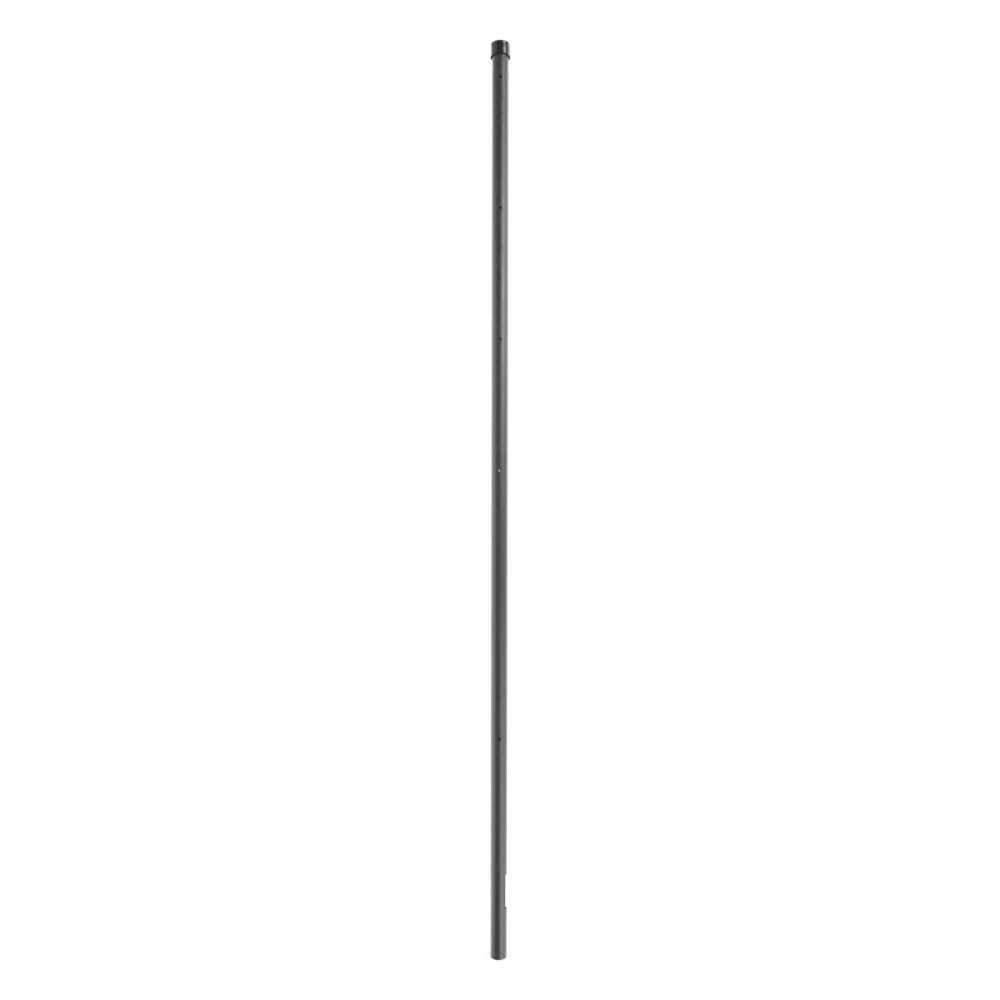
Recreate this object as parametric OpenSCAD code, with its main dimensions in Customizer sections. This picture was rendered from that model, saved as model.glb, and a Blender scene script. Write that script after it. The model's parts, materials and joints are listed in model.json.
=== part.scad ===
// Corner post for an electric fence: a round steel tube under a push-over plastic cap.
// The origin is the centre of the tube's lower cut end, and +Z runs up the post.
// The row of wire holes faces -Y, and the lead-out window faces +X.

/* [Post tube] */
// Cut length of the tube
tube_length = 2100; // [1900:10:3000]
// Outside diameter of the tube
tube_diameter = 38; // [30:0.5:42]
// Thickness of the tube's wall
tube_wall = 2; // [1.5:0.25:3]

/* [Wire holes] */
// Diameter of each wire hole
hole_diameter = 5.5; // [3:0.5:8]
// Number of evenly spaced holes in the upper row
upper_holes = 4; // [1:1:5]
// Distance from one hole of the upper row to the next
hole_spacing = 300; // [150:5:340]
// Distance from the tube's top end down to the highest hole
hole_top_margin = 80; // [50:5:200]
// Height of the single low hole above the foot
low_hole_height = 505; // [260:5:560]

/* [Lead-out window] */
// Height of the window's lower edge above the foot
window_bottom = 110; // [60:5:150]
// Height of the window
window_height = 80; // [40:5:90]
// Width of the window across the tube
window_width = 23; // [10:0.5:24]
// Radius of the window's corners
window_corner = 1.5; // [0.5:0.25:4]

/* [Cap] */
// Diameter of the cap at its open rim
cap_diameter = 46; // [44:0.5:54]
// How much narrower the cap is near its top than at its rim
cap_draft = 0.8; // [0:0.1:1.5]
// Length of tube that the cap covers
cap_skirt = 28; // [15:1:40]
// Thickness of the cap's roof
cap_roof = 3; // [2:0.25:6]
// Radius of the rounding between the cap's side and top
cap_rounding = 3; // [1:0.25:6]

/* [Hidden] */
$fn = 96;

// How far a cutting shape runs past the face it cuts
overrun = 5;
// Number of flats that make up the cap's rounded edge
rounding_steps = 10;

tube_radius = tube_diameter / 2;
tube_bore_radius = tube_radius - tube_wall;
top_hole_height = tube_length - hole_top_margin;
cap_rim_height = tube_length - cap_skirt;
cap_top_height = tube_length + cap_roof;
cap_rim_radius = cap_diameter / 2;
cap_top_radius = cap_rim_radius - cap_draft / 2;
rounding_centre = [cap_top_radius - cap_rounding, cap_top_height - cap_rounding];

// A straight drilling through both walls, from front to back
module wire_hole(height) {
    translate([0, 0, height])
        rotate([90, 0, 0])
            cylinder(h = tube_diameter + 2 * overrun, d = hole_diameter, center = true);
}

// The window's shape: an upright rectangle with rounded corners, cut from the axis outwards
module window_cut() {
    inner_width = window_width - 2 * window_corner;
    inner_height = window_height - 2 * window_corner;
    cut_depth = tube_radius + overrun;
    translate([0, -inner_width / 2, window_bottom])
        cube([cut_depth, inner_width, window_height]);
    translate([0, -window_width / 2, window_bottom + window_corner])
        cube([cut_depth, window_width, inner_height]);
    for (side = [-1, 1])
        for (corner_height = [window_corner, window_height - window_corner])
            translate([0, side * inner_width / 2, window_bottom + corner_height])
                rotate([0, 90, 0])
                    cylinder(h = cut_depth, r = window_corner);
}

// The steel tube, with plain cut ends, the drilled holes and the window near its foot
module post_tube() {
    color("#4a4c4b")
        difference() {
            cylinder(h = tube_length, r = tube_radius);
            translate([0, 0, -overrun])
                cylinder(h = tube_length + 2 * overrun, r = tube_bore_radius);
            for (place = [0 : upper_holes - 1])
                wire_hole(top_hole_height - place * hole_spacing);
            wire_hole(low_hole_height);
            window_cut();
        }
}

// Half of the cap's section, from the axis outwards, with its upper edge rounded
module cap_section() {
    rounding = [
        for (step = [0 : rounding_steps])
            rounding_centre + cap_rounding * [
                cos(90 * step / rounding_steps),
                sin(90 * step / rounding_steps)
            ]
    ];
    polygon(concat(
        [[0, tube_length], [tube_radius, tube_length]],
        [[tube_radius, cap_rim_height], [cap_rim_radius, cap_rim_height]],
        rounding,
        [[0, cap_top_height]]
    ));
}

// The plastic cap, pushed over the tube until its roof sits on the tube's end
module top_cap() {
    color("#1b1c1c")
        rotate_extrude()
            cap_section();
}

post_tube();
top_cap();
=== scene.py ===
"""Looks of an electric fence corner post: a powder-coated steel tube and its push-over cap.

The file is laid out as an add-on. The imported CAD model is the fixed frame, and every size
that the frame holds is read from it. Lengths are in metres, with +Z up the post.
"""

import json
import math

import bpy
from mathutils import Matrix, Vector


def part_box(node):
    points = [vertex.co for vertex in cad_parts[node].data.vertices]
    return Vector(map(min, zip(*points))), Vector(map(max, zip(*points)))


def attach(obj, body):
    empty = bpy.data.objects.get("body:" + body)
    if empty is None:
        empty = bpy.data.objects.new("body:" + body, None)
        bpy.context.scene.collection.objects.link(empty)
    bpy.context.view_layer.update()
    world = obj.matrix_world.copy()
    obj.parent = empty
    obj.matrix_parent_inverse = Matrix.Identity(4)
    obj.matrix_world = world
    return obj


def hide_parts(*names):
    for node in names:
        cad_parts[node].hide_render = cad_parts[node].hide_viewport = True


bl_info = {
    "name": "Electric Fence Corner Post",
    "version": (1, 0, 0),
    "blender": (4, 5, 0),
    "location": "3D View > Sidebar > Fence Post",
    "description": "Builds the coated tube, the cap and the studio of a fence corner post",
    "category": "Object",
}

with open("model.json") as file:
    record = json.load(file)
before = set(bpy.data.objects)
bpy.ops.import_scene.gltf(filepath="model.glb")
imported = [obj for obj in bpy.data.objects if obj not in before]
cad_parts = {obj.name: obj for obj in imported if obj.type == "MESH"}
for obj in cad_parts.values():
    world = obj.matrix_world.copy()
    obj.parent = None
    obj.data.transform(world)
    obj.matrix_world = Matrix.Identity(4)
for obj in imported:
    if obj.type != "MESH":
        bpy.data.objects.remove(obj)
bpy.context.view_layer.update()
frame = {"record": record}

MM = 0.001
TUBE_LOW, TUBE_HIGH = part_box("post_tube")
CAP_LOW, CAP_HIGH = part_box("top_cap")
MOUNTS = {mount["name"]: mount for mount in frame["record"]["mounts"]}
WIRE_HOLES = [mount for name, mount in sorted(MOUNTS.items()) if name.startswith("wire_hole")]

# Angles round the tube are counted from +X towards +Y, so the wire holes face -90 degrees.
FRONT, BACK, WINDOW_SIDE = math.radians(-90), math.radians(90), 0.0


# ---------------------------------------------------------------- settings


class TubeSettings(bpy.types.PropertyGroup):
    """Sizes of the coated tube that the frame doesn't hold"""

    wall: bpy.props.FloatProperty(
        name="Wall",
        description="Thickness of the steel wall",
        default=TUBE_HIGH.x - MOUNTS["tube_bore"]["dims"]["r_mm"] * MM,
        unit="LENGTH",
    )
    window_bottom: bpy.props.FloatProperty(
        name="Window Bottom",
        description="Height of the lead-out window's lower edge above the foot",
        default=110 * MM,
        unit="LENGTH",
    )
    window_height: bpy.props.FloatProperty(
        name="Window Height",
        description="Height of the lead-out window",
        default=80 * MM,
        unit="LENGTH",
    )
    window_width: bpy.props.FloatProperty(
        name="Window Width",
        description="Width of the lead-out window",
        default=23 * MM,
        unit="LENGTH",
    )
    window_corner: bpy.props.FloatProperty(
        name="Window Corner",
        description="Radius of the lead-out window's corners",
        default=1.5 * MM,
        unit="LENGTH",
    )
    coated_edge: bpy.props.FloatProperty(
        name="Coated Edge",
        description="Radius that the powder coat leaves on an outside edge",
        default=0.45 * MM,
        unit="LENGTH",
    )
    inner_edge: bpy.props.FloatProperty(
        name="Inner Edge",
        description="Radius left on an edge inside the tube",
        default=0.25 * MM,
        unit="LENGTH",
    )
    seam_height: bpy.props.FloatProperty(
        name="Seam Height",
        description="How far the rolled tube's weld seam stands up inside",
        default=0.35 * MM,
        unit="LENGTH",
    )
    seam_angle: bpy.props.FloatProperty(
        name="Seam Angle",
        description="Where the weld seam runs, counted from +X towards +Y",
        default=math.radians(160),
        subtype="ANGLE",
    )


class CapSettings(bpy.types.PropertyGroup):
    """Sizes of the push-over cap that the frame doesn't hold"""

    belly_height: bpy.props.FloatProperty(
        name="Belly Height",
        description="Height above the rim at which the cap's soft side is widest",
        default=3 * MM,
        unit="LENGTH",
    )
    crown_taper: bpy.props.FloatProperty(
        name="Crown Taper",
        description="How far the side curves inwards from its belly to its top",
        default=0.5 * MM,
        unit="LENGTH",
    )
    rim_taper: bpy.props.FloatProperty(
        name="Rim Taper",
        description="How far the side curves inwards from its belly to its rim",
        default=0.08 * MM,
        unit="LENGTH",
    )
    top_rounding: bpy.props.FloatProperty(
        name="Top Rounding",
        description="Radius between the cap's side and its top",
        default=3 * MM,
        unit="LENGTH",
    )
    rim_rounding: bpy.props.FloatProperty(
        name="Rim Rounding",
        description="Radius of the cap's open rim",
        default=0.4 * MM,
        unit="LENGTH",
    )
    mouth_widening: bpy.props.FloatProperty(
        name="Mouth Widening",
        description="How far the cap's bore widens at its rim, so that it starts on the tube",
        default=2.1 * MM,
        unit="LENGTH",
    )
    mouth_depth: bpy.props.FloatProperty(
        name="Mouth Depth",
        description="How far up the cap's bore its widening reaches",
        default=9.0 * MM,
        unit="LENGTH",
    )
    gate_radius: bpy.props.FloatProperty(
        name="Gate Radius",
        description="Radius of the moulding gate's pip in the middle of the top",
        default=1.3 * MM,
        unit="LENGTH",
    )


class FinishSettings(bpy.types.PropertyGroup):
    """Colours and finishes"""

    coat_colour: bpy.props.StringProperty(
        name="Coat Colour",
        description="Powder coat colour, as an sRGB hex value",
        default="#262626",
    )
    cap_colour: bpy.props.StringProperty(
        name="Cap Colour",
        description="Cap colour, as an sRGB hex value",
        default="#191919",
    )
    # Near black, so that it also paints the shade inside the tube and its wire holes.
    primer_and_shade_colour: bpy.props.StringProperty(
        name="Primer Colour",
        description="Colour of the primed inside, as an sRGB hex value",
        default="#18191A",
    )
    steel_colour: bpy.props.StringProperty(
        name="Steel Colour",
        description="Colour of the window's bare cut faces, as an sRGB hex value",
        default="#B0B0AE",
    )
    peel_size: bpy.props.FloatProperty(
        name="Peel Size",
        description="Distance between the hollows of the powder coat's orange peel",
        default=4 * MM,
        unit="LENGTH",
    )
    peel_depth: bpy.props.FloatProperty(
        name="Peel Depth",
        description="Depth of the powder coat's orange peel",
        default=0.06 * MM,
        unit="LENGTH",
    )


class StageSettings(bpy.types.PropertyGroup):
    """The studio round the post"""

    camera_distance: bpy.props.FloatProperty(
        name="Camera Distance",
        description="Level distance from the post's axis to the camera",
        default=1.95,
        unit="LENGTH",
    )
    camera_height: bpy.props.FloatProperty(
        name="Camera Height",
        description="Height of the camera above the foot",
        default=1.042,
        unit="LENGTH",
    )
    camera_turn: bpy.props.FloatProperty(
        name="Camera Turn",
        description="How far the camera stands round the post from straight in front",
        default=math.radians(-4.3),
        subtype="ANGLE",
    )
    camera_roll: bpy.props.FloatProperty(
        name="Camera Roll",
        description="How far the camera is tipped sideways",
        default=math.radians(0.12),
        subtype="ANGLE",
    )
    lens: bpy.props.FloatProperty(
        name="Lens",
        description="Focal length in millimetres on a 36 mm sensor",
        default=30.42,
    )
    shift_x: bpy.props.FloatProperty(
        name="Shift X",
        description="Sideways lens shift, as a share of the frame",
        default=0.0006,
    )
    shift_y: bpy.props.FloatProperty(
        name="Shift Y",
        description="Upward lens shift, as a share of the frame",
        default=0.0043,
    )
    light_distance: bpy.props.FloatProperty(
        name="Light Distance",
        description="Level distance from the post's axis to each softbox and flag",
        default=2.5,
        unit="LENGTH",
    )
    light_level: bpy.props.FloatProperty(
        name="Light Level",
        description="Brightness of all softboxes together",
        default=1.0,
    )


# ---------------------------------------------------------------- small helpers


def linear(hex_colour):
    """Turns an sRGB hex colour into the linear RGBA that a shader takes."""
    channels = [int(hex_colour[i : i + 2], 16) / 255 for i in (1, 3, 5)]
    return [c / 12.92 if c <= 0.04045 else ((c + 0.055) / 1.055) ** 2.4 for c in channels] + [1.0]


def add_node(tree, kind, inputs=None, **settings):
    """Adds one node, sets its properties, and fills or links its inputs."""
    made = tree.nodes.new(kind)
    for name, value in settings.items():
        setattr(made, name, value)
    for name, value in (inputs or {}).items():
        if isinstance(value, bpy.types.NodeSocket):
            tree.links.new(value, made.inputs[name])
        else:
            made.inputs[name].default_value = value
    return made


def new_material(name):
    """Makes an empty node material and returns it with its tree."""
    material = bpy.data.materials.new(name)
    material.use_nodes = True
    material.node_tree.nodes.clear()
    return material, material.node_tree


def new_piece(name, shell, materials):
    """Makes a smooth mesh piece with exact normals, and lets it ride on the post."""
    mesh = bpy.data.meshes.new(name)
    mesh.from_pydata(shell.points, [], shell.faces)
    mesh.polygons.foreach_set("material_index", shell.numbers)
    mesh.shade_smooth()
    for material in materials:
        mesh.materials.append(material)
    mesh.normals_split_custom_set_from_vertices(shell.normals)
    mesh.update()
    piece = bpy.data.objects.new(name, mesh)
    bpy.context.scene.collection.objects.link(piece)
    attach(piece, "root")
    return piece


# ---------------------------------------------------------------- materials


# Each mark on the coat has a bearing in degrees, a height, a lean from upright in degrees,
# half its length and half its width, and how many times as light as the coat it is.
COAT_MARKS = {
    "scuff": (-9.9, 238 * MM, 18, 3.8 * MM, 1.1 * MM, 2.2),
    "smudge": (6.0, 636 * MM, 0, 5.0 * MM, 4.0 * MM, 0.6),
}


def add_mark(tree, place, tone, bearing, height, lean, half_length, half_width, strength):
    """Lightens or darkens the coat's tone inside one soft-edged oval on the tube."""
    turn = math.radians(bearing)
    centre = (TUBE_HIGH.x * math.sin(turn), -TUBE_HIGH.x * math.cos(turn), height)
    local = add_node(
        tree,
        "ShaderNodeMapping",
        {
            "Vector": place,
            "Location": centre,
            "Rotation": (0.0, math.radians(lean), turn),
            "Scale": (half_width, TUBE_HIGH.x, half_length),
        },
        vector_type="TEXTURE",
    ).outputs["Vector"]
    away = add_node(tree, "ShaderNodeVectorMath", {0: local}, operation="LENGTH").outputs["Value"]
    change = add_node(
        tree,
        "ShaderNodeMapRange",
        {"Value": away, "From Min": 0.4, "From Max": 1.0, "To Min": strength, "To Max": 1.0},
        interpolation_type="SMOOTHSTEP",
    ).outputs["Result"]
    return add_node(
        tree, "ShaderNodeMath", {0: tone, 1: change}, operation="MULTIPLY"
    ).outputs[0]


def powder_coat(finish):
    """Fine-textured polyester powder coat on steel, sprayed and oven cured.

    The eye sees a soft satin sheen broken up by an even orange peel, and a coat that is
    a shade darker or lighter where the powder lay thicker or thinner.
    """
    material, tree = new_material("polyester_powder_coat_fine_texture")
    place = add_node(tree, "ShaderNodeTexCoord").outputs["Object"]
    peel = add_node(
        tree,
        "ShaderNodeTexNoise",
        {"Vector": place, "Scale": 1 / finish.peel_size, "Detail": 2.0, "Roughness": 0.55},
    ).outputs["Fac"]
    # Cured powder grains of about 0.1 mm are drawn at 1.1 mm, because finer ones don't show.
    grain = add_node(
        tree, "ShaderNodeTexNoise", {"Vector": place, "Scale": 1 / (1.1 * MM), "Detail": 1.0}
    ).outputs["Fac"]
    # Powder thickness changes over a hand's breadth.
    cloud = add_node(
        tree, "ShaderNodeTexNoise", {"Vector": place, "Scale": 1 / (90 * MM), "Detail": 3.0}
    ).outputs["Fac"]
    colour = linear(finish.coat_colour)
    tone = add_node(
        tree,
        "ShaderNodeMapRange",
        {"Value": grain, "From Min": 0.3, "From Max": 0.7, "To Min": 0.86, "To Max": 1.14},
    ).outputs["Result"]
    drift = add_node(
        tree,
        "ShaderNodeMapRange",
        {"Value": cloud, "From Min": 0.3, "From Max": 0.7, "To Min": 0.93, "To Max": 1.07},
    ).outputs["Result"]
    tone = add_node(tree, "ShaderNodeMath", {0: tone, 1: drift}, operation="MULTIPLY")
    # Powder pulls back from cut edges as it cures, so that they look a shade lighter.
    worn = add_node(tree, "ShaderNodeAttribute", attribute_name="edge_wear").outputs["Fac"]
    lift = add_node(
        tree, "ShaderNodeMapRange", {"Value": worn, "To Min": 1.0, "To Max": 2.0}
    ).outputs["Result"]
    tone = add_node(
        tree, "ShaderNodeMath", {0: tone.outputs[0], 1: lift}, operation="MULTIPLY"
    ).outputs[0]
    for mark in COAT_MARKS.values():
        tone = add_mark(tree, place, tone, *mark)
    base = add_node(
        tree, "ShaderNodeVectorMath", {0: colour[:3], "Scale": tone}, operation="SCALE"
    ).outputs[0]
    rough = add_node(
        tree,
        "ShaderNodeMapRange",
        {"Value": cloud, "From Min": 0.3, "From Max": 0.7, "To Min": 0.095, "To Max": 0.155},
    ).outputs["Result"]
    # The peel's crests are glossier than its hollows, so that lamps sparkle on it.
    rough = add_node(
        tree, "ShaderNodeMath", {0: peel, 1: 0.5, 2: rough}, operation="MULTIPLY_ADD"
    ).outputs[0]
    height = add_node(
        tree, "ShaderNodeMath", {0: grain, 1: 0.25, 2: peel}, operation="MULTIPLY_ADD"
    ).outputs[0]
    bump = add_node(
        tree,
        "ShaderNodeBump",
        {"Strength": 1.0, "Distance": finish.peel_depth, "Height": height},
    ).outputs["Normal"]
    shader = add_node(
        tree,
        "ShaderNodeBsdfPrincipled",
        {"Base Color": base, "Roughness": rough, "IOR": 1.52, "Normal": bump},
    )
    add_node(tree, "ShaderNodeOutputMaterial", {"Surface": shader.outputs["BSDF"]})
    return material


def dipped_primer_and_shade(finish):
    """Black cathodic dip primer on steel strip: the inside that the powder never reaches.

    The eye sees a thin, dark satin film with long, slightly lighter drain marks. Its near-black
    colour also paints in the deep shade inside the tube, its wire holes and its window.
    """
    material, tree = new_material("cathodic_dip_primer")
    place = add_node(tree, "ShaderNodeTexCoord").outputs["Object"]
    # Drain marks are about 5 mm wide and 120 mm long.
    stretched = add_node(
        tree,
        "ShaderNodeMapping",
        {"Vector": place, "Scale": (1 / (5 * MM), 1 / (5 * MM), 1 / (120 * MM))},
    ).outputs["Vector"]
    drained = add_node(
        tree, "ShaderNodeTexNoise", {"Vector": stretched, "Scale": 1.0, "Detail": 3.0}
    ).outputs["Fac"]
    tone = add_node(
        tree,
        "ShaderNodeMapRange",
        {"Value": drained, "From Min": 0.3, "From Max": 0.7, "To Min": 0.75, "To Max": 1.3},
    ).outputs["Result"]
    # The near-black colour paints shade into the tube's inside and the holes' walls; the drain
    # marks are the primer's own.
    colour = linear(finish.primer_and_shade_colour)
    base = add_node(
        tree, "ShaderNodeVectorMath", {0: colour[:3], "Scale": tone}, operation="SCALE"
    ).outputs[0]
    rough = add_node(
        tree,
        "ShaderNodeMapRange",
        {"Value": drained, "From Min": 0.3, "From Max": 0.7, "To Min": 0.5, "To Max": 0.62},
    ).outputs["Result"]
    shader = add_node(
        tree, "ShaderNodeBsdfPrincipled", {"Base Color": base, "Roughness": rough, "IOR": 1.5}
    )
    add_node(tree, "ShaderNodeOutputMaterial", {"Surface": shader.outputs["BSDF"]})
    return material


def cut_steel(finish):
    """Mild steel, punched through after coating: the window's bare cut faces.

    The eye sees a dull grey metal line with fine shear marks across the wall.
    """
    material, tree = new_material("punched_mild_steel")
    place = add_node(tree, "ShaderNodeTexCoord").outputs["Object"]
    # The punch leaves marks of about 0.4 mm.
    marks = add_node(
        tree, "ShaderNodeTexNoise", {"Vector": place, "Scale": 1 / (0.4 * MM), "Detail": 1.0}
    ).outputs["Fac"]
    tone = add_node(
        tree,
        "ShaderNodeMapRange",
        {"Value": marks, "From Min": 0.3, "From Max": 0.7, "To Min": 0.8, "To Max": 1.2},
    ).outputs["Result"]
    colour = linear(finish.steel_colour)
    base = add_node(
        tree, "ShaderNodeVectorMath", {0: colour[:3], "Scale": tone}, operation="SCALE"
    ).outputs[0]
    bump = add_node(
        tree, "ShaderNodeBump", {"Strength": 1.0, "Distance": 0.02 * MM, "Height": marks}
    ).outputs["Normal"]
    shader = add_node(
        tree,
        "ShaderNodeBsdfPrincipled",
        {"Base Color": base, "Roughness": 0.5, "Metallic": 1.0, "Normal": bump},
    )
    add_node(tree, "ShaderNodeOutputMaterial", {"Surface": shader.outputs["BSDF"]})
    return material


def moulded_pvc(finish):
    """Soft PVC, injection moulded in a polished mould.

    The eye sees a deep black gloss whose reflections waver slightly, because the soft
    wall isn't quite round.
    """
    material, tree = new_material("soft_pvc_moulded_gloss")
    place = add_node(tree, "ShaderNodeTexCoord").outputs["Object"]
    # The wall wavers every 9 mm or so. The mould's polishing marks of about 0.1 mm are drawn
    # at 1.2 mm, because finer ones don't show.
    waver = add_node(
        tree, "ShaderNodeTexNoise", {"Vector": place, "Scale": 1 / (9 * MM), "Detail": 1.0}
    ).outputs["Fac"]
    marks = add_node(
        tree, "ShaderNodeTexNoise", {"Vector": place, "Scale": 1 / (1.2 * MM), "Detail": 2.0}
    ).outputs["Fac"]
    height = add_node(
        tree, "ShaderNodeMath", {0: marks, 1: 0.05, 2: waver}, operation="MULTIPLY_ADD"
    ).outputs[0]
    bump = add_node(
        tree, "ShaderNodeBump", {"Strength": 1.0, "Distance": 0.1 * MM, "Height": height}
    ).outputs["Normal"]
    rough = add_node(
        tree,
        "ShaderNodeMapRange",
        {"Value": marks, "From Min": 0.3, "From Max": 0.7, "To Min": 0.11, "To Max": 0.17},
    ).outputs["Result"]
    colour = linear(finish.cap_colour)
    tone = add_node(
        tree,
        "ShaderNodeMapRange",
        {"Value": marks, "From Min": 0.3, "From Max": 0.7, "To Min": 0.85, "To Max": 1.15},
    ).outputs["Result"]
    base = add_node(
        tree, "ShaderNodeVectorMath", {0: colour[:3], "Scale": tone}, operation="SCALE"
    ).outputs[0]
    shader = add_node(
        tree,
        "ShaderNodeBsdfPrincipled",
        {"Base Color": base, "Roughness": rough, "IOR": 1.54, "Normal": bump},
    )
    add_node(tree, "ShaderNodeOutputMaterial", {"Surface": shader.outputs["BSDF"]})
    return material


def moulded_pvc_core_and_shade(finish):
    """Soft PVC against the mould's blasted core: the cap's inside.

    The eye sees a dull, slightly grainy black with no clear reflections. It is coloured darker
    than the outside, which paints shade into the mouth and bore under the rim.
    """
    material, tree = new_material("soft_pvc_blasted_core")
    place = add_node(tree, "ShaderNodeTexCoord").outputs["Object"]
    # Blasting leaves pits of about 0.3 mm.
    pits = add_node(
        tree, "ShaderNodeTexNoise", {"Vector": place, "Scale": 1 / (0.3 * MM), "Detail": 2.0}
    ).outputs["Fac"]
    bump = add_node(
        tree, "ShaderNodeBump", {"Strength": 1.0, "Distance": 0.03 * MM, "Height": pits}
    ).outputs["Normal"]
    colour = linear(finish.cap_colour)
    # A tone of 0.6 to 0.9 darkens the inside below the cap's own colour: painted shade in the
    # mouth and bore.
    tone = add_node(
        tree, "ShaderNodeMapRange", {"Value": pits, "To Min": 0.6, "To Max": 0.9}
    ).outputs["Result"]
    base = add_node(
        tree, "ShaderNodeVectorMath", {0: colour[:3], "Scale": tone}, operation="SCALE"
    ).outputs[0]
    shader = add_node(
        tree,
        "ShaderNodeBsdfPrincipled",
        {"Base Color": base, "Roughness": 0.7, "IOR": 1.54, "Normal": bump},
    )
    add_node(tree, "ShaderNodeOutputMaterial", {"Surface": shader.outputs["BSDF"]})
    return material


# ---------------------------------------------------------------- the tube


# Places of the tube's materials in its list of materials. The second, near black, also paints
# shade inside the tube and on the wire holes' walls.
COATED, PRIMED_AND_SHADED, BARE = 0, 1, 2
# Faces round the tube, and the tallest face between two openings.
COLUMNS = 144
TALLEST_FACE = 60 * MM
# Degrees at which an edge's rounding has a loop of points. A narrow band of skin beside the
# rounding keeps its shading from spreading.
EDGE_STEPS = [0, 22.5, 45, 67.5, 90]
SUPPORT = 0.25 * MM
# Each opening replaces a patch of the skin: so many faces across and up, and so far past the
# opening. A wire hole's patch is measured from the middle of the hole.
HOLE_CELLS = 12
HOLE_PATCH_REACH = 5 * MM
WINDOW_CELLS_ACROSS, WINDOW_CELLS_UP = 36, 30
WINDOW_PATCH_MARGIN = 6 * MM
# Half the width of the weld bead inside the tube.
BEAD_HALF_WIDTH = 1.1 * MM


def across(angle, lateral, reach):
    """Point at a lateral distance from an opening's axis and a reach along that axis."""
    return (
        reach * math.cos(angle) - lateral * math.sin(angle),
        reach * math.sin(angle) + lateral * math.cos(angle),
    )


def round_outline(radius, skin_radius):
    """Outline of a round hole, with one point for each point on its patch's border."""
    half_patch_angle = math.pi * HOLE_CELLS / COLUMNS

    def points(offset):
        made = []
        for col, row in border(HOLE_CELLS, HOLE_CELLS):
            lateral = skin_radius * math.sin(half_patch_angle * (2 * col / HOLE_CELLS - 1))
            rise = HOLE_PATCH_REACH * (2 * row / HOLE_CELLS - 1)
            turn = math.atan2(rise, lateral)
            reach = radius + offset
            made.append((reach * math.cos(turn), reach * math.sin(turn), turn))
        return made

    return points


def window_outline(half_width, half_height, corner):
    """Outline of the rounded window, with one point for each point on its patch's border.

    Each side is worked out as if it were the bottom, and turned into its place. Its first
    two and last two points lie on its corners, 22.5 degrees apart.
    """

    def points(offset):
        bend = corner + offset
        made = []
        for side in range(4):
            count = WINDOW_CELLS_ACROSS if side % 2 == 0 else WINDOW_CELLS_UP
            along = (half_width if side % 2 == 0 else half_height) + offset
            out = (half_height if side % 2 == 0 else half_width) + offset
            for step in range(count):
                if step < 2 or step > count - 2:
                    turn = 225 + 22.5 * step if step < 2 else 270 + 22.5 * (step - count + 2)
                    centre = -along + bend if step < 2 else along - bend
                    u = centre + bend * math.cos(math.radians(turn))
                    v = -out + bend + bend * math.sin(math.radians(turn))
                else:
                    turn = 270
                    u = (along - bend) * (2 * (step - 2) / (count - 4) - 1)
                    v = -out
                quarter = math.radians(90 * side)
                made.append((
                    u * math.cos(quarter) - v * math.sin(quarter),
                    u * math.sin(quarter) + v * math.cos(quarter),
                    math.radians(turn) + quarter,
                ))
        return made

    return points


def border(columns, rows):
    """Grid places round a patch's border: along its bottom, up, back along its top, down."""
    return (
        [(col, 0) for col in range(columns)]
        + [(columns, row) for row in range(rows)]
        + [(col, rows) for col in range(columns, 0, -1)]
        + [(0, row) for row in range(rows, 0, -1)]
    )


class Shell:
    """Points, normals, edge wear and faces of a piece while it is being built"""

    def __init__(self):
        self.points, self.normals, self.wear = [], [], []
        self.faces, self.numbers = [], []

    def point(self, x, y, z, normal, wear=0.0):
        """Adds one point and returns its number."""
        self.points.append((x, y, z))
        self.normals.append(Vector(normal).normalized())
        self.wear.append(wear)
        return len(self.points) - 1

    def face(self, corners, number, flip=False):
        """Adds one face with its material's number, turned over where flip is true."""
        self.faces.append(corners[::-1] if flip else corners)
        self.numbers.append(number)

    def ring(self, low, high, number, flip=False):
        """Joins two closed loops of points with faces."""
        for i in range(len(low)):
            j = (i + 1) % len(low)
            self.face((low[i], low[j], high[j], high[i]), number, flip)


def tube_rows(length, patches, edge):
    """Heights of the tube's rows of points, each with how far it is inset at the tube's ends."""
    ends = [
        (edge * (1 - math.cos(math.radians(a))), edge * (1 - math.sin(math.radians(a))))
        for a in EDGE_STEPS
    ]
    low = ends + [(edge + SUPPORT, 0.0)]
    high = [(length - z, inset) for z, inset in reversed(low)]
    heights = []
    for patch in patches:
        step = (patch["top"] - patch["bottom"]) / patch["rows"]
        heights += [patch["bottom"] + step * row for row in range(patch["rows"] + 1)]
    heights = sorted(set(round(z, 7) for z in heights))
    full = []
    last = low[-1][0]
    for z in heights + [high[0][0]]:
        gap = z - last
        extra = int(gap // TALLEST_FACE)
        full += [last + gap * (i + 1) / (extra + 1) for i in range(extra)] + [z]
        last = z
    # The last height is the first row of the upper end.
    return low + [(z, 0.0) for z in full[:-1]] + high


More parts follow.
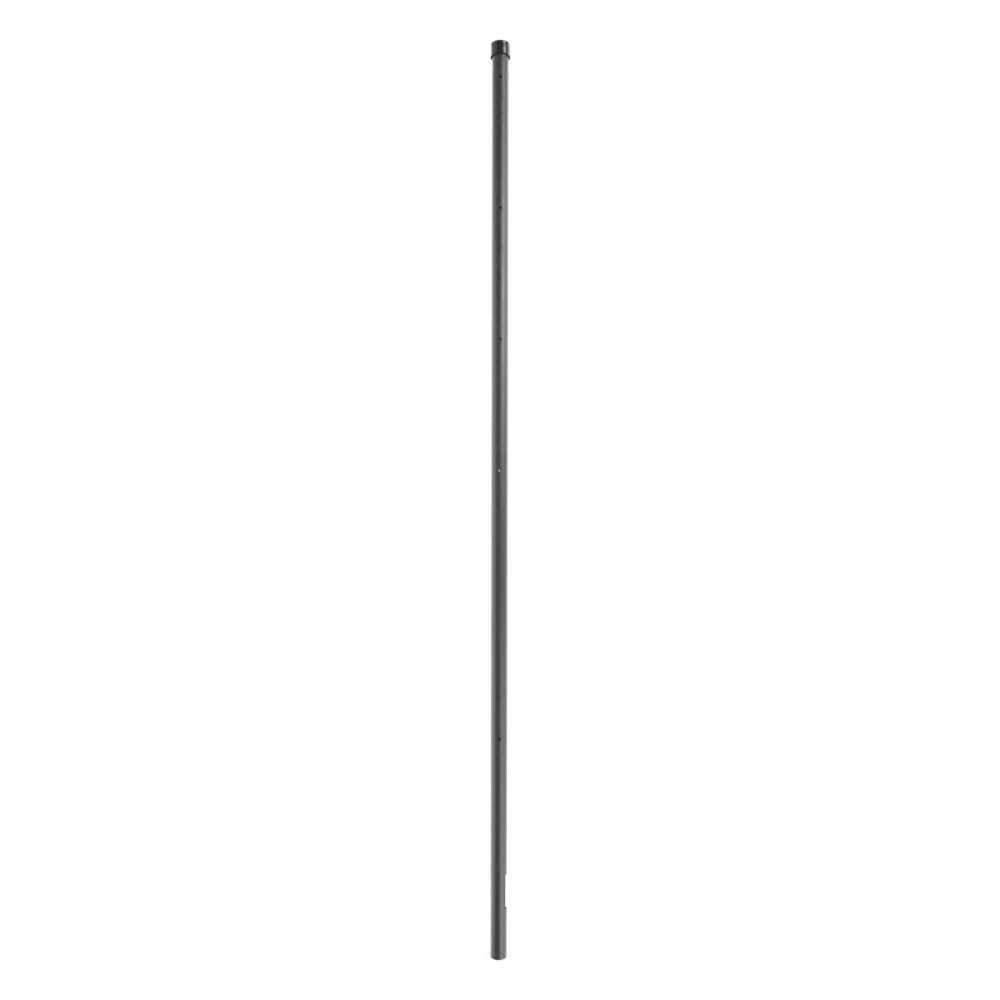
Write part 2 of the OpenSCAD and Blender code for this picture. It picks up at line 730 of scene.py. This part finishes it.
def build_skin(shell, rows, radius_at, patches, sign, number, edge, skin_radius):
    """Builds one skin of the tube with its openings' rounded edges.

    The sign is 1 for the outer skin and -1 for the inner one, which faces the axis.
    Returns its first and last row, and the last loop of each opening, for the walls.
    """
    flip = sign < 0
    grid = []
    for height, inset in rows:
        row = []
        for col in range(COLUMNS):
            angle = 2 * math.pi * col / COLUMNS
            reach = radius_at(angle) - sign * inset
            lean = 0.0
            if inset > 0:
                share = 1 - inset / edge
                lean = math.sqrt(max(0.0, 1 - share * share))
                lean = -lean if height < 0.5 * rows[-1][0] else lean
            level = math.sqrt(max(0.0, 1 - lean * lean))
            normal = (sign * level * math.cos(angle), sign * level * math.sin(angle), lean)
            wear = 2 * abs(lean) * level
            row.append(
                shell.point(reach * math.cos(angle), reach * math.sin(angle), height, normal, wear)
            )
        grid.append(row)
    row_of = {round(height, 7): index for index, (height, inset) in enumerate(rows) if inset == 0}
    taken = set()
    loops = []
    for patch in patches:
        first = row_of[round(patch["bottom"], 7)]
        for row in range(patch["rows"]):
            for col in range(patch["columns"]):
                taken.add((first + row, (patch["first_column"] + col) % COLUMNS))
        outer = []
        for col, row in border(patch["columns"], patch["rows"]):
            outer.append(grid[first + row][(patch["first_column"] + col) % COLUMNS])
        loops.append(build_edge(shell, patch, outer, sign, number, edge, skin_radius, flip))
    for row in range(len(rows) - 1):
        for col in range(COLUMNS):
            if (row, col) not in taken:
                after = (col + 1) % COLUMNS
                low, high = grid[row], grid[row + 1]
                shell.face((low[col], low[after], high[after], high[col]), number, flip)
    return grid[0], grid[-1], loops


def build_edge(shell, patch, outer, sign, number, edge, skin_radius, flip):
    """Fills the skin from a patch's border to its opening, and rounds the opening's edge."""
    axis = patch["angle"]
    middle = (patch["bottom"] + patch["top"]) / 2
    outline = patch["outline"](skin_radius)
    place = across(axis, 0.0, 1.0)
    side = across(axis, 1.0, 0.0)

    def skin_loop(offset, share, wear):
        """A loop on the skin between the patch's border, at share 0, and the outline, at 1."""
        made = []
        for index, (lateral, rise, turn) in enumerate(outline(offset)):
            start = Vector(shell.points[outer[index]])
            turned = math.atan2(
                start.x * side[0] + start.y * side[1], start.x * place[0] + start.y * place[1]
            )
            lean = turned + (math.asin(lateral / skin_radius) - turned) * share
            height = start.z + (middle + rise - start.z) * share
            angle = axis + lean
            normal = (sign * math.cos(angle), sign * math.sin(angle), 0.0)
            made.append(shell.point(
                skin_radius * math.cos(angle), skin_radius * math.sin(angle), height, normal, wear
            ))
        return made

    last = outer
    for share in patch["shares"]:
        loop = skin_loop(edge + SUPPORT, share, 0.0)
        shell.ring(last, loop, number, flip)
        last = loop
    for step in EDGE_STEPS:
        bend = math.radians(step)
        offset = edge * (1 - math.sin(bend))
        depth = edge * (1 - math.cos(bend))
        loop = []
        for lateral, rise, turn in outline(offset):
            lateral_in = max(-skin_radius, min(skin_radius, lateral))
            reach = math.sqrt(skin_radius**2 - lateral_in**2)
            angle = axis + math.asin(lateral_in / skin_radius)
            x, y = across(axis, lateral_in, reach - sign * depth)
            out = Vector((sign * math.cos(angle), sign * math.sin(angle), 0.0))
            into = -Vector((side[0] * math.cos(turn), side[1] * math.cos(turn), math.sin(turn)))
            normal = out * math.cos(bend) + into * math.sin(bend)
            loop.append(shell.point(x, y, middle + rise, normal, math.sin(2 * bend)))
        shell.ring(last, loop, number, flip)
        last = loop
    return last


def tube_patches(settings):
    """Where the tube's skins are cut: the wire holes, front and back, and the window.

    A patch's shares say how far each loop of points lies on the way from the patch's border
    to the opening's rounding, and its cut number is the material of the opening's walls.
    """
    patches = []
    for mount in WIRE_HOLES:
        radius = mount["dims"]["r_mm"] * MM
        height = mount["pos_m"][2]
        for angle in (FRONT, BACK):
            patches.append({
                "angle": angle,
                "columns": HOLE_CELLS,
                "rows": HOLE_CELLS,
                "first_column": round(angle / (2 * math.pi) * COLUMNS) - HOLE_CELLS // 2,
                "bottom": height - HOLE_PATCH_REACH,
                "top": height + HOLE_PATCH_REACH,
                "shares": (0.35, 0.7, 1.0),
                "cut_number": PRIMED_AND_SHADED,
                "outline": lambda skin, radius=radius: round_outline(radius, skin),
            })
    bottom = settings.window_bottom
    top = bottom + settings.window_height
    patches.append({
        "angle": WINDOW_SIDE,
        "columns": WINDOW_CELLS_ACROSS,
        "rows": WINDOW_CELLS_UP,
        "first_column": -WINDOW_CELLS_ACROSS // 2,
        "bottom": bottom - WINDOW_PATCH_MARGIN,
        "top": top + WINDOW_PATCH_MARGIN,
        "shares": (0.5, 1.0),
        "cut_number": BARE,
        "outline": lambda skin: window_outline(
            settings.window_width / 2, settings.window_height / 2, settings.window_corner
        ),
    })
    return patches


class FENCEPOST_OT_tube(bpy.types.Operator):
    """Build the coated tube with its drilled holes, its window and its weld seam"""

    bl_idname = "fencepost.tube"
    bl_label = "Coated Tube"

    def execute(self, context):
        settings = context.scene.post_tube
        finish = context.scene.post_finish
        length = TUBE_HIGH.z - TUBE_LOW.z
        outer_radius = TUBE_HIGH.x
        inner_radius = outer_radius - settings.wall
        patches = tube_patches(settings)

        def seam(angle):
            """Inner radius, less the weld bead's height where the seam runs."""
            away = math.remainder(angle - settings.seam_angle, 2 * math.pi) * inner_radius
            return inner_radius - settings.seam_height * math.exp(-((away / BEAD_HALF_WIDTH) ** 2))

        shell = Shell()
        outer_rows = tube_rows(length, patches, settings.coated_edge)
        inner_rows = tube_rows(length, patches, settings.inner_edge)
        foot_out, head_out, loops_out = build_skin(
            shell, outer_rows, lambda angle: outer_radius, patches, 1, COATED,
            settings.coated_edge, outer_radius,
        )
        foot_in, head_in, loops_in = build_skin(
            shell, inner_rows, seam, patches, -1, PRIMED_AND_SHADED, settings.inner_edge, inner_radius
        )
        shell.ring(foot_in, foot_out, COATED)
        shell.ring(head_out, head_in, COATED)
        for patch, loop_out, loop_in in zip(patches, loops_out, loops_in):
            shell.ring(loop_out, loop_in, patch["cut_number"])
        piece = new_piece(
            "coated_tube",
            shell,
            [powder_coat(finish), dipped_primer_and_shade(finish), cut_steel(finish)],
        )
        worn = piece.data.attributes.new("edge_wear", "FLOAT", "POINT")
        worn.data.foreach_set("value", shell.wear)
        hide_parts("post_tube")
        return {"FINISHED"}


# ---------------------------------------------------------------- the cap


# Places of the cap's materials in its list of materials: the gloss outside, and the matt inside
# with painted shade.
GLOSS, BLASTED_AND_SHADED = 0, 1
CAP_COLUMNS = 160
# The side curves by these powers of the height above and below its belly: the upper part
# stays upright for long and then leans in, and the lower part is a plain bulge.
CROWN_POWER, RIM_POWER = 5, 2
# The gate's pip stands in a shallow dimple, so that it never reaches past the flat top.
DIMPLE_DEPTH = 0.35 * MM
PIP_DROP = 0.1 * MM
PIP_EDGE = 0.15 * MM
# Roundings of the mouth's lip and of the corner under the roof.
LIP_INNER_EDGE = 0.25 * MM
ROOF_FILLET = 0.6 * MM


def arc(centre, radius, start, stop, steps):
    """Points along an arc in the cap's section, each with its outward normal."""
    made = []
    for step in range(steps + 1):
        turn = math.radians(start + (stop - start) * step / steps)
        normal = (math.cos(turn), math.sin(turn))
        made.append((
            centre[0] + radius * normal[0],
            centre[1] + radius * normal[1],
            *normal,
        ))
    return made


def cap_side(settings):
    """The cap's bulging side, from the end of its top rounding down to its rim's rounding.

    It is nearly upright over its belly and leans in more and more towards its top.
    """
    belly = CAP_LOW.z + settings.belly_height
    start = CAP_HIGH.z - settings.top_rounding
    stop = CAP_LOW.z + settings.rim_rounding
    made = []
    steps = 16
    for step in range(steps + 1):
        height = start + (stop - start) * step / steps
        above = height > belly
        reach = start - belly if above else belly - stop
        taper = settings.crown_taper if above else settings.rim_taper
        power = CROWN_POWER if above else RIM_POWER
        share = (height - belly) / reach
        slope = power * taper * share ** (power - 1) / reach
        made.append((CAP_HIGH.x - taper * abs(share) ** power, height, 1.0, slope))
    return made


def cap_section(settings):
    """The cap's section from the middle of its top, down its side and up its bore.

    Each point has a radius and a height, and its normal's outward and upward parts.
    Returns its points and the place among them where the matt inside starts.
    """
    bore = TUBE_HIGH.x
    top, rim, roof = CAP_HIGH.z, CAP_LOW.z, TUBE_HIGH.z
    bend, lip = settings.top_rounding, settings.rim_rounding
    side = cap_side(settings)
    shoulder = side[0][0] - bend
    rim_radius = side[-1][0]
    lean = math.degrees(math.atan(side[0][3]))
    droop = math.degrees(math.atan(side[-1][3]))
    gate = settings.gate_radius
    pip, floor = top - PIP_DROP, top - DIMPLE_DEPTH
    section = [(0.0, pip, 0.0, 1.0), (gate * 0.7, pip, 0.0, 1.0)]
    section += arc((gate * 0.7, pip - PIP_EDGE), PIP_EDGE, 90, 0, 3)
    section += [(gate * 0.7 + PIP_EDGE, floor, 1.0, 0.0)]
    section += [(gate * 1.1, floor, 0.0, 1.0), (gate * 1.8, floor, 0.0, 1.0)]
    section += [(gate * 2.4, top - 0.04 * MM, -0.25, 0.97), (gate * 2.8, top, 0.0, 1.0)]
    section += [(gate * 3.4, top, 0.0, 1.0), (shoulder - 1.0 * MM, top, 0.0, 1.0)]
    section += arc((shoulder, top - bend), bend, 90, lean, 12)
    section += side[1:-1]
    section += arc((rim_radius - lip, rim + lip), lip, droop, -90, 8)
    inside = len(section)
    mouth, depth = bore + settings.mouth_widening, rim + settings.mouth_depth
    section += arc((mouth + LIP_INNER_EDGE, rim + LIP_INNER_EDGE), LIP_INNER_EDGE, -90, -170, 4)
    section += [(bore + 0.05 * MM, depth, -1.0, -0.2), (bore, depth + 0.5 * MM, -1.0, 0.0)]
    section += [(bore, roof - ROOF_FILLET, -1.0, 0.0), (bore - ROOF_FILLET, roof, 0.0, -1.0)]
    section += [(0.0, roof, 0.0, -1.0)]
    return section, inside


class FENCEPOST_OT_cap(bpy.types.Operator):
    """Build the moulded cap, with its rounded edges and the pip of its moulding gate"""

    bl_idname = "fencepost.cap"
    bl_label = "Push-over Cap"

    def execute(self, context):
        finish = context.scene.post_finish
        section, inside = cap_section(context.scene.post_cap)
        shell = Shell()
        loops = []
        for radius, height, out, up in section:
            loop = []
            for col in range(CAP_COLUMNS):
                angle = 2 * math.pi * col / CAP_COLUMNS
                normal = (out * math.cos(angle), out * math.sin(angle), up)
                loop.append(
                    shell.point(radius * math.cos(angle), radius * math.sin(angle), height, normal)
                )
                if radius == 0.0:
                    break
            loops.append(loop)
        for place, (upper, lower) in enumerate(zip(loops, loops[1:])):
            number = BLASTED_AND_SHADED if place >= inside else GLOSS
            for col in range(CAP_COLUMNS):
                after = (col + 1) % CAP_COLUMNS
                if len(upper) == 1:
                    shell.face((upper[0], lower[col], lower[after]), number)
                elif len(lower) == 1:
                    shell.face((upper[col], lower[0], upper[after]), number)
                else:
                    shell.face((upper[col], lower[col], lower[after], upper[after]), number)
        piece = new_piece(
            "push_over_cap",
            shell,
            [moulded_pvc(finish), moulded_pvc_core_and_shade(finish)],
        )
        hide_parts("top_cap")
        return {"FINISHED"}


# ---------------------------------------------------------------- the studio


# Bearings are in degrees to the right of straight in front of the post.
# Each light has a bearing, a width, its lowest and highest point, and its brightness
# beside white paper. What reaches below the floor stands for its pale bounce.
SOFTBOXES = {
    "tall_softbox": (47.3, 3.57, 1.69, 2.84, 5.35),
    "softbox_core": (42.1, 1.24, 1.21, 2.72, 3.9),
    "strip_light": (49.3, 1.39, 3.3, 3.52, 8.2),
    "crown_light": (48.0, 1.35, 3.8, 4.25, 9.0),
    "low_softbox": (43.7, 3.1, -2.48, 0.19, 3.38),
    "front_fill": (-18.5, 3.36, 0.2, 2.08, 0.72),
    "left_crown_light": (-64, 1.7, 3.15, 3.8, 0.45),
    "left_panel": (-83.3, 3.5, -1.4, 2.61, 2.12),
    "back_left_panel": (-138.3, 2.89, -2.06, 3.6, 1.98),
    "back_right_panel": (119.7, 2.23, -2.26, 3.76, 2.26),
}
# Each felt flag has a bearing, a width, its lowest and highest point, how far it stands
# behind the lights, and its colour.
FLAGS = {
    "dark_flag": (-18.6, 3.03, -3.83, 6.09, 0.0, "#575757"),
    "grey_flag": (-25.4, 5.9, -3.85, 6.93, 0.1, "#919191"),
    "top_right_flag": (75.5, 0.75, 3.1, 4.4, 0.0, "#282828"),
}


def facing_post(bearing, distance, height):
    """Where something stands round the post so that it looks at the post's axis."""
    return (
        Matrix.Translation((distance * math.sin(bearing), -distance * math.cos(bearing), height))
        @ Matrix.Rotation(bearing, 4, "Z")
        @ Matrix.Rotation(math.radians(90), 4, "X")
    )


def studio_world():
    """A plain white surround."""
    world = bpy.data.worlds.new("white_surround")
    bpy.context.scene.world = world
    world.use_nodes = True
    tree = world.node_tree
    tree.nodes.clear()
    white = add_node(tree, "ShaderNodeBackground", {"Color": linear("#FFFFFF"), "Strength": 1.0})
    add_node(tree, "ShaderNodeOutputWorld", {"Surface": white.outputs[0]})


def studio_lights(settings):
    """Broad soft lights and dark flags round the post."""
    for name, (bearing, width, low, high, brightness) in SOFTBOXES.items():
        lamp = bpy.data.lights.new(name, "AREA")
        lamp.shape = "RECTANGLE"
        lamp.size = width
        lamp.size_y = high - low
        # A lamp of brightness 1 looks as bright as the surround.
        lamp.energy = brightness * settings.light_level * math.pi * width * (high - low)
        light = bpy.data.objects.new(name, lamp)
        light.matrix_world = facing_post(
            math.radians(bearing), settings.light_distance, (low + high) / 2
        )
        light.visible_camera = False
        bpy.context.scene.collection.objects.link(light)

    for name, (bearing, width, low, high, behind, colour) in FLAGS.items():
        felt, tree = new_material(name.replace("flag", "felt"))
        shade = add_node(tree, "ShaderNodeBsdfDiffuse", {"Color": linear(colour)})
        add_node(tree, "ShaderNodeOutputMaterial", {"Surface": shade.outputs[0]})
        half = (width / 2, (high - low) / 2)
        mesh = bpy.data.meshes.new(name)
        corners = [(x * half[0], y * half[1], 0) for x, y in ((-1, -1), (1, -1), (1, 1), (-1, 1))]
        mesh.from_pydata(corners, [], [(0, 1, 2, 3)])
        mesh.materials.append(felt)
        flag = bpy.data.objects.new(name, mesh)
        flag.matrix_world = facing_post(
            math.radians(bearing), settings.light_distance + behind, (low + high) / 2
        )
        flag.visible_camera = False
        bpy.context.scene.collection.objects.link(flag)


FLOOR_RADIUS = 1.5
FLOOR_SIDES = 96
# How far the floor lies below the foot, and the round of floor in the bore a little less.
FLOOR_DROP = 0.05 * MM
BORE_FLOOR_DROP = 0.02 * MM
# How much brighter than its paint the camera sees the floor, where 1 is white.
FLOOR_LIFT = 0.84


def round_of_floor(name, radius, drop, material):
    """A flat round of floor, a hair below the foot."""
    mesh = bpy.data.meshes.new(name)
    turns = [2 * math.pi * i / FLOOR_SIDES for i in range(FLOOR_SIDES)]
    rim = [(radius * math.cos(turn), radius * math.sin(turn), TUBE_LOW.z - drop) for turn in turns]
    mesh.from_pydata(rim, [], [tuple(range(FLOOR_SIDES))])
    mesh.materials.append(material)
    floor = bpy.data.objects.new(name, mesh)
    bpy.context.scene.collection.objects.link(floor)
    return floor


def studio_floor():
    """A round of pale floor under the foot that keeps the post's soft shadow."""
    material, tree = new_material("white_painted_floor")
    paint = add_node(tree, "ShaderNodeBsdfDiffuse", {"Color": linear("#5A5A5A")})
    # The camera sees the paint as white, so that it meets the white surround.
    seen = add_node(tree, "ShaderNodeLightPath").outputs["Is Camera Ray"]
    lift = add_node(
        tree, "ShaderNodeMath", {0: seen, 1: FLOOR_LIFT}, operation="MULTIPLY"
    ).outputs[0]
    glow = add_node(tree, "ShaderNodeEmission", {"Color": linear("#FFFFFF"), "Strength": lift})
    both = add_node(tree, "ShaderNodeAddShader", {0: paint.outputs[0], 1: glow.outputs[0]})
    add_node(tree, "ShaderNodeOutputMaterial", {"Surface": both.outputs[0]})
    # The surround and the low softbox already light the post from below.
    floor = round_of_floor("studio_floor", FLOOR_RADIUS, FLOOR_DROP, material)
    floor.visible_diffuse = False
    floor.visible_glossy = False
    floor.visible_transmission = False
    floor.visible_shadow = False
    # The floor inside the tube's foot keeps light from rising into the bore.
    # It reaches halfway under the 2 mm wall.
    round_of_floor("floor_in_bore", TUBE_HIGH.x - 1 * MM, BORE_FLOOR_DROP, material)


def studio_camera(settings):
    """Camera level with the middle of the post, a little to the left of its front."""
    data = bpy.data.cameras.new("studio_camera")
    camera = bpy.data.objects.new("studio_camera", data)
    bpy.context.scene.collection.objects.link(camera)
    data.sensor_width = 36.0
    data.lens = settings.lens
    data.shift_x = settings.shift_x
    data.shift_y = settings.shift_y
    camera.matrix_world = facing_post(
        settings.camera_turn, settings.camera_distance, settings.camera_height
    ) @ Matrix.Rotation(settings.camera_roll, 4, "Z")
    bpy.context.scene.camera = camera


class FENCEPOST_OT_stage(bpy.types.Operator):
    """Set up the camera, the pale floor and the studio light"""

    bl_idname = "fencepost.stage"
    bl_label = "Studio"

    def execute(self, context):
        studio_camera(context.scene.post_stage)
        studio_world()
        studio_lights(context.scene.post_stage)
        studio_floor()
        context.scene.view_settings.view_transform = "Standard"
        return {"FINISHED"}


# ---------------------------------------------------------------- panel and start


class FENCEPOST_PT_panel(bpy.types.Panel):
    """Lists the post's pieces and their settings"""

    bl_idname = "FENCEPOST_PT_panel"
    bl_label = "Fence Post"
    bl_space_type = "VIEW_3D"
    bl_region_type = "UI"
    bl_category = "Fence Post"

    def draw(self, context):
        scene = context.scene
        for title, group, operator in (
            ("Tube", scene.post_tube, "fencepost.tube"),
            ("Cap", scene.post_cap, "fencepost.cap"),
            ("Studio", scene.post_stage, "fencepost.stage"),
        ):
            box = self.layout.box()
            box.label(text=title)
            for name in group.bl_rna.properties.keys():
                if name not in ("rna_type", "name"):
                    box.prop(group, name)
            box.operator(operator)
        box = self.layout.box()
        box.label(text="Finish")
        for name in scene.post_finish.bl_rna.properties.keys():
            if name not in ("rna_type", "name"):
                box.prop(scene.post_finish, name)


CLASSES = (
    TubeSettings,
    CapSettings,
    FinishSettings,
    StageSettings,
    FENCEPOST_OT_tube,
    FENCEPOST_OT_cap,
    FENCEPOST_OT_stage,
    FENCEPOST_PT_panel,
)
GROUPS = {
    "post_tube": TubeSettings,
    "post_cap": CapSettings,
    "post_finish": FinishSettings,
    "post_stage": StageSettings,
}


def register():
    for cls in CLASSES:
        bpy.utils.register_class(cls)
    for name, group in GROUPS.items():
        setattr(bpy.types.Scene, name, bpy.props.PointerProperty(type=group))


def unregister():
    for name in GROUPS:
        delattr(bpy.types.Scene, name)
    for cls in reversed(CLASSES):
        bpy.utils.unregister_class(cls)


def main():
    register()
    bpy.ops.fencepost.tube()
    bpy.ops.fencepost.cap()
    bpy.ops.fencepost.stage()


if __name__ == "__main__":
    main()
